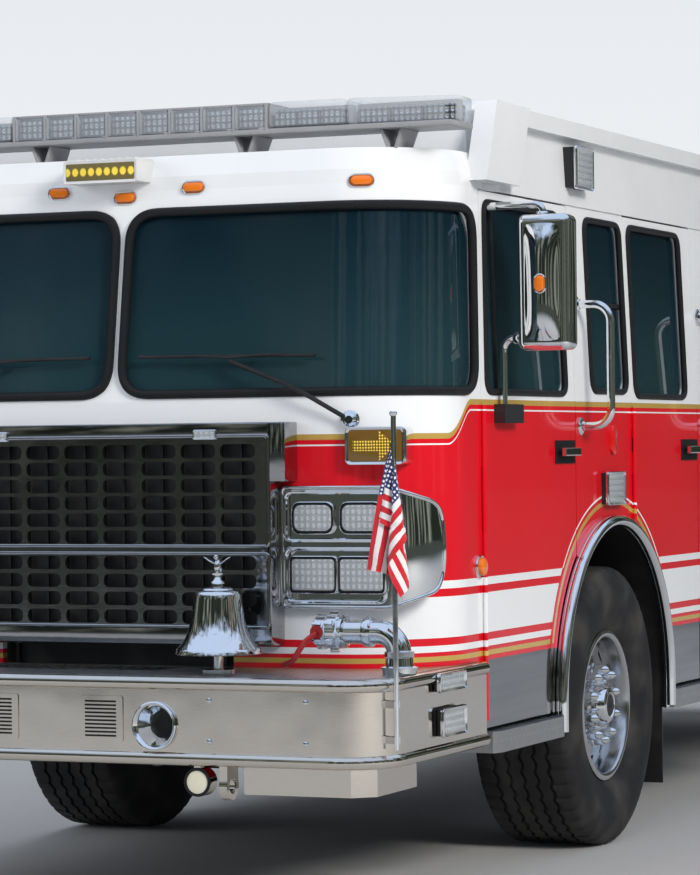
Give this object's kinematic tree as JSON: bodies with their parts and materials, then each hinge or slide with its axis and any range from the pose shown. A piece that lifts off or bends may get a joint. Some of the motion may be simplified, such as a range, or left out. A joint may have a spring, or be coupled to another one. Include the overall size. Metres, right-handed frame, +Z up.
{
  "type": "fire engine",
  "caption": "Pumper fire engine with a four-door custom cab, steered front wheels, twin rear wheels, opening doors and a hose bed.",
  "frame": {"origin": "on the ground under the middle of the vehicle's length and width", "axes": "+X to the vehicle's left, +Y to its rear, +Z up; the front bumper faces -Y"},
  "size_m": [3.04, 9.45, 2.91],
  "materials": {
    "cab_paint": "gloss, white above and red below",
    "red_paint": "gloss",
    "floor_liner": "matte",
    "black_plastic": "matte",
    "black_metal": "satin",
    "stainless": "polished",
    "chrome": "polished",
    "tread_plate": "embossed, bright",
    "shutter_aluminium": "satin",
    "wheel_aluminium": "polished",
    "cast_iron": "rough",
    "tyre": "matte",
    "glass": "clear, tinted",
    "lamp_lens": "gloss",
    "flag_cloth": "woven nylon",
    "seat_cover": "woven"
  },
  "bodies": {
    "chassis": {"cab_front": "cab_paint", "cab_roof": "cab_paint", "cab_sides": "cab_paint", "cab_back": "cab_paint", "cab_floor": "floor_liner", "wheelhouses": "black_plastic", "arch_trims": "stainless", "cab_glass": "glass", "grab_handles": "stainless", "steps": "tread_plate", "bumper": "stainless", "bumper_deck": "tread_plate", "bell": "chrome", "bell_stand": "chrome", "front_swivel": "stainless", "flag_staff": "stainless", "flag": "flag_cloth", "grille": "chrome", "radiator_core": "black_metal", "lamp_bezels": "chrome", "lamps": "lamp_lens", "light_bar": "lamp_lens", "frame_rails": "black_metal", "leaf_springs": "black_metal", "axles": "black_metal", "engine_block": "cast_iron", "tanks": "black_metal", "exhaust": "stainless", "pump_house": "red_paint", "pump_panels": "stainless", "side_bodies": "red_paint", "shutters": "shutter_aluminium", "hose_bed": "shutter_aluminium", "tailboard": "tread_plate", "seats": "seat_cover", "dash": "black_plastic"},
    "steer_left": {"knuckle_left": "black_metal"},
    "front_wheel_left": {"wheel_front_left": "wheel_aluminium", "tyre_front_left": "tyre"},
    "rear_wheels_left": {"wheel_rear_left": "wheel_aluminium", "tyres_rear_left": "tyre"},
    "door_front_left": {"door_front_left": "cab_paint", "door_front_left_glass": "glass"},
    "door_crew_left": {"door_crew_left": "cab_paint", "door_crew_left_glass": "glass"},
    "steer_right": {"knuckle_right": "black_metal"},
    "front_wheel_right": {"wheel_front_right": "wheel_aluminium", "tyre_front_right": "tyre"},
    "rear_wheels_right": {"wheel_rear_right": "wheel_aluminium", "tyres_rear_right": "tyre"},
    "door_front_right": {"door_front_right": "cab_paint", "door_front_right_glass": "glass"},
    "door_crew_right": {"door_crew_right": "cab_paint", "door_crew_right_glass": "glass"}
  },
  "joints": [
    {"name": "steer_left", "type": "hinge", "parent": "chassis", "child": "steer_left", "pos_m": [0.92, -2.185, 0.562], "axis": [0, 0, 1], "range_deg": [-38, 38]},
    {"name": "spin_front_left", "type": "hinge", "parent": "steer_left", "child": "front_wheel_left", "pos_m": [1.012, -2.185, 0.562], "axis": [1, 0, 0], "continuous": true},
    {"name": "spin_rear_left", "type": "hinge", "parent": "chassis", "child": "rear_wheels_left", "pos_m": [0.9125, 2.515, 0.538], "axis": [1, 0, 0], "continuous": true},
    {"name": "open_door_front_left", "type": "hinge", "parent": "chassis", "child": "door_front_left", "pos_m": [1.228, -3.652, 1.2], "axis": [0, 0, 1], "range_deg": [-78, 0]},
    {"name": "open_door_crew_left", "type": "hinge", "parent": "chassis", "child": "door_crew_left", "pos_m": [1.228, -1.917, 1.2], "axis": [0, 0, 1], "range_deg": [-78, 0]},
    {"name": "steer_right", "type": "hinge", "parent": "chassis", "child": "steer_right", "pos_m": [-0.92, -2.185, 0.562], "axis": [0, 0, 1], "range_deg": [-38, 38]},
    {"name": "spin_front_right", "type": "hinge", "parent": "steer_right", "child": "front_wheel_right", "pos_m": [-1.012, -2.185, 0.562], "axis": [1, 0, 0], "continuous": true},
    {"name": "spin_rear_right", "type": "hinge", "parent": "chassis", "child": "rear_wheels_right", "pos_m": [-0.9125, 2.515, 0.538], "axis": [1, 0, 0], "continuous": true},
    {"name": "open_door_front_right", "type": "hinge", "parent": "chassis", "child": "door_front_right", "pos_m": [-1.228, -3.652, 1.2], "axis": [0, 0, 1], "range_deg": [0, 78]},
    {"name": "open_door_crew_right", "type": "hinge", "parent": "chassis", "child": "door_crew_right", "pos_m": [-1.228, -1.917, 1.2], "axis": [0, 0, 1], "range_deg": [0, 78]}
  ],
  "couplings": [
    {"joint": "steer_right", "follows": "steer_left", "ratio": 1}
  ]
}
